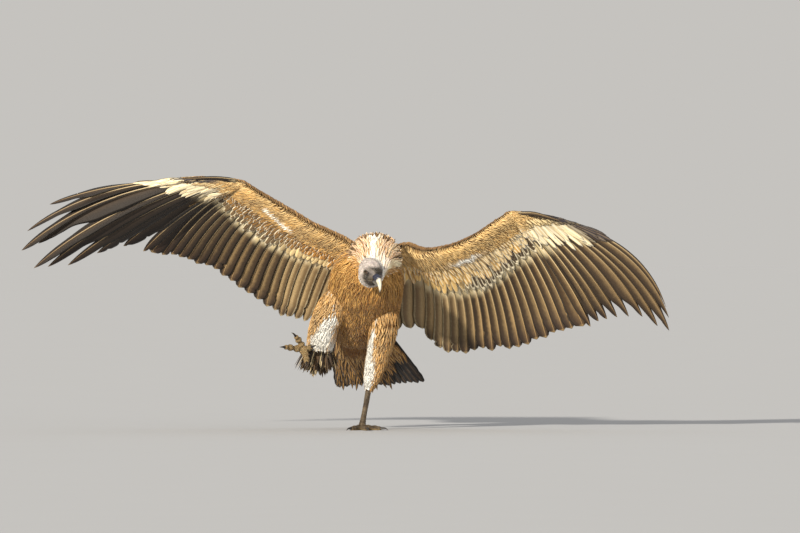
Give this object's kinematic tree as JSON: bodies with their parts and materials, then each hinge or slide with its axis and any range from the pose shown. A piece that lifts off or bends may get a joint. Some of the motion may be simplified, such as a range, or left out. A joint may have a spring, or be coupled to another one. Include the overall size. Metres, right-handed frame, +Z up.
{
  "type": "griffon vulture",
  "caption": "Still, life-size griffon vulture in a striding threat pose: wings spread, ruff raised, head lowered, a foot lifted; it stands on its own toes as a display model.",
  "frame": {"origin": "middle of the bounding box's bottom face, level with the sole of the standing foot", "axes": "+Z up, the bird faces -Y, and its left wing reaches towards +X"},
  "size_m": [2.2206, 0.7676, 0.8687],
  "materials": {
    "body_feathers": "golden-brown lanceolate feathers with pale shaft streaks",
    "pale_feathers": "cream and buff ruff feathers, soft and matt",
    "down": "short lilac-grey to white down over grey skin",
    "wing_coverts": "tawny coverts with cream centres and edges",
    "flight_feathers": "dark grey-brown vanes with pale worn edges and horn-coloured shafts",
    "horn": "pale horn bill, satin, dark at the cere",
    "eye": "wet brown eye",
    "leg_scales": "grey-brown scaled skin with yellowish pads",
    "claw": "worn black horn"
  },
  "bodies": {
    "root": {"trunk": "body_feathers", "head": "down", "bill_upper": "horn", "bill_lower": "horn", "eye_right": "eye", "eye_left": "eye", "neck": "down", "ruff": "pale_feathers", "tail": "flight_feathers", "wing_right_upper_arm": "wing_coverts", "wing_right_forearm": "wing_coverts", "wing_right_hand": "wing_coverts", "wing_right_tertials": "flight_feathers", "wing_right_secondaries": "flight_feathers", "wing_right_primaries": "flight_feathers", "wing_right_alula": "flight_feathers", "wing_left_upper_arm": "wing_coverts", "wing_left_forearm": "wing_coverts", "wing_left_hand": "wing_coverts", "wing_left_tertials": "flight_feathers", "wing_left_secondaries": "flight_feathers", "wing_left_primaries": "flight_feathers", "wing_left_alula": "flight_feathers", "thigh_left": "body_feathers", "tarsus_left": "leg_scales", "toe_left_inner": "leg_scales", "claw_left_inner": "claw", "toe_left_middle": "leg_scales", "claw_left_middle": "claw", "toe_left_outer": "leg_scales", "claw_left_outer": "claw", "toe_left_hind": "leg_scales", "claw_left_hind": "claw", "thigh_right": "body_feathers", "tarsus_right": "leg_scales", "toe_right_inner": "leg_scales", "claw_right_inner": "claw", "toe_right_middle": "leg_scales", "claw_right_middle": "claw", "toe_right_outer": "leg_scales", "claw_right_outer": "claw", "toe_right_hind": "leg_scales", "claw_right_hind": "claw"}
  },
  "joints": []
}
